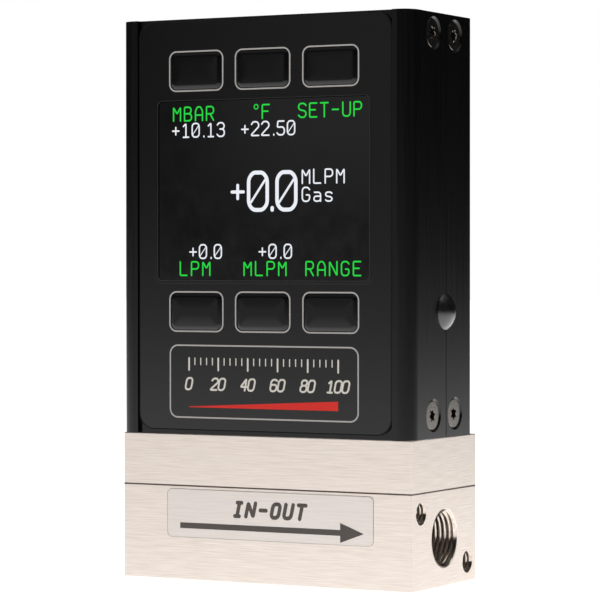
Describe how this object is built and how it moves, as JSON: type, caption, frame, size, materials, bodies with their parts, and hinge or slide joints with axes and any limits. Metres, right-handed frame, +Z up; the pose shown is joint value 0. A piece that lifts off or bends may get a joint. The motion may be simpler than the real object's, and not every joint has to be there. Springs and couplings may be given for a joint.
{
  "type": "mass flow meter",
  "caption": "Compact laminar mass flow meter: black housing with a display and push keys on a two-block stainless base with a threaded gas port at each end.",
  "frame": {"origin": "centre of the base's underside, on the plane of the two flow ports", "axes": "+Z up; +X along the flow, from the inlet at -X to the outlet at +X; the display and keys face -Y"},
  "size_m": [0.0623, 0.0275, 0.1038],
  "materials": {
    "stainless": "fine horizontal brushing",
    "housing_black": "black anodised, satin, with fine upright extrusion lines",
    "overlay_film": "fine matt polyester film",
    "key_film": "embossed matt polyester film",
    "window_black": "glossy, smoked to black",
    "display_dark": "glossy",
    "board_green": "solder mask",
    "component_black": "moulded",
    "steel_bright": "turned",
    "screw_black": "black oxide",
    "seal_rubber": "matt",
    "plug_rubber": "glossy moulded",
    "contact_gold": "plated",
    "connector_black": "moulded"
  },
  "bodies": {
    "housing": {"flow_body": "stainless", "cap_block": "stainless", "flow_element": "steel_bright", "element_ring": "steel_bright", "tap_seals": "seal_rubber", "block_screws": "steel_bright", "dp_sensor": "component_black", "pressure_sensor": "steel_bright", "temperature_probe": "contact_gold", "sensor_seals": "seal_rubber", "sensor_board": "board_green", "board_header": "component_black", "bottom_frame": "connector_black", "frame_screws": "steel_bright", "front_shell": "housing_black", "rear_shell": "housing_black", "top_cap": "housing_black", "side_screws": "screw_black", "overlay": "overlay_film", "window": "window_black", "display_panel": "display_dark", "main_board": "board_green", "board_components": "component_black", "board_standoffs": "steel_bright", "board_screws": "steel_bright", "key_domes": "steel_bright", "power_jack": "connector_black", "jack_pin": "contact_gold", "connector_body": "connector_black", "connector_shield": "steel_bright", "connector_insert": "connector_black", "connector_contacts": "contact_gold"},
    "key_top_left": {"key_top_left": "key_film"},
    "key_top_middle": {"key_top_middle": "key_film"},
    "key_top_right": {"key_top_right": "key_film"},
    "key_bottom_left": {"key_bottom_left": "key_film"},
    "key_bottom_middle": {"key_bottom_middle": "key_film"},
    "key_bottom_right": {"key_bottom_right": "key_film"},
    "jack_plug": {"jack_plug": "plug_rubber"}
  },
  "joints": [
    {"name": "key_top_left_press", "type": "slide", "parent": "housing", "child": "key_top_left", "axis": [0, 1, 0], "range_m": [0, 0.00035], "stiffness_N_per_m": 3000},
    {"name": "key_top_middle_press", "type": "slide", "parent": "housing", "child": "key_top_middle", "axis": [0, 1, 0], "range_m": [0, 0.00035], "stiffness_N_per_m": 3000},
    {"name": "key_top_right_press", "type": "slide", "parent": "housing", "child": "key_top_right", "axis": [0, 1, 0], "range_m": [0, 0.00035], "stiffness_N_per_m": 3000},
    {"name": "key_bottom_left_press", "type": "slide", "parent": "housing", "child": "key_bottom_left", "axis": [0, 1, 0], "range_m": [0, 0.00035], "stiffness_N_per_m": 3000},
    {"name": "key_bottom_middle_press", "type": "slide", "parent": "housing", "child": "key_bottom_middle", "axis": [0, 1, 0], "range_m": [0, 0.00035], "stiffness_N_per_m": 3000},
    {"name": "key_bottom_right_press", "type": "slide", "parent": "housing", "child": "key_bottom_right", "axis": [0, 1, 0], "range_m": [0, 0.00035], "stiffness_N_per_m": 3000},
    {"name": "jack_plug_pull", "type": "slide", "parent": "housing", "child": "jack_plug", "axis": [1, 0, 0], "range_m": [0, 0.012]}
  ]
}
